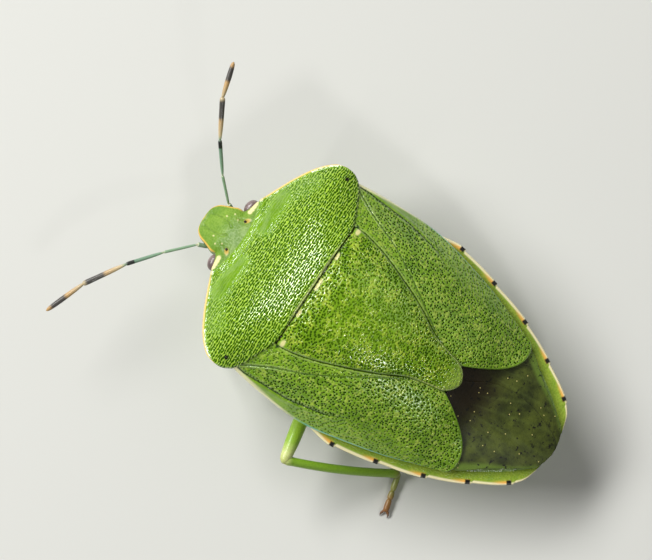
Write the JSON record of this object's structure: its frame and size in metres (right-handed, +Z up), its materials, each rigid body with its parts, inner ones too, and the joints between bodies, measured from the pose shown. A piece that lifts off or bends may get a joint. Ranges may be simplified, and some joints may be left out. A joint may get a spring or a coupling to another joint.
{
  "type": "green shield bug",
  "caption": "Life-size green shield bug at rest: broad shield and scutellum, wings folded flat, spread feelers, legs tucked beneath with one hind leg showing.",
  "frame": {"origin": "on the floor under the centre of the box that holds the whole animal, feelers included", "axes": "the head points along -Y and the abdomen's tip along +Y, +X is the animal's left, +Z up"},
  "size_m": [0.0127, 0.0209, 0.0071],
  "materials": {
    "head_cuticle": "smooth waxy green insect cuticle",
    "pronotum_cuticle": "glossy green cuticle with close cross-wise punctures",
    "scutellum_cuticle": "glossy green cuticle, pitted, with a paler raised network",
    "corium": "leathery green forewing, pitted and flecked",
    "belly_cuticle": "satin pale green cuticle",
    "leg_cuticle": "satin green cuticle with fine hairs",
    "antenna": "satin cuticle, green at the base, orange and grey-black towards the tip",
    "eye": "glossy facetted compound eye"
  },
  "bodies": {
    "root": {"head": "head_cuticle", "eye_left": "eye", "eye_right": "eye", "antenna_left": "antenna", "antenna_right": "antenna", "rostrum": "leg_cuticle", "pronotum": "pronotum_cuticle", "scutellum": "scutellum_cuticle", "thorax": "belly_cuticle", "forewing_left": "corium", "forewing_right": "corium", "abdomen": "belly_cuticle", "leg_front_left_femur": "leg_cuticle", "leg_front_left_tibia": "leg_cuticle", "leg_front_left_tarsus": "leg_cuticle", "leg_middle_left_femur": "leg_cuticle", "leg_middle_left_tibia": "leg_cuticle", "leg_middle_left_tarsus": "leg_cuticle", "leg_hind_left_femur": "leg_cuticle", "leg_hind_left_tibia": "leg_cuticle", "leg_hind_left_tarsus": "leg_cuticle", "leg_front_right_femur": "leg_cuticle", "leg_front_right_tibia": "leg_cuticle", "leg_front_right_tarsus": "leg_cuticle", "leg_middle_right_femur": "leg_cuticle", "leg_middle_right_tibia": "leg_cuticle", "leg_middle_right_tarsus": "leg_cuticle", "leg_hind_right_femur": "leg_cuticle", "leg_hind_right_tibia": "leg_cuticle", "leg_hind_right_tarsus": "leg_cuticle"}
  },
  "joints": []
}
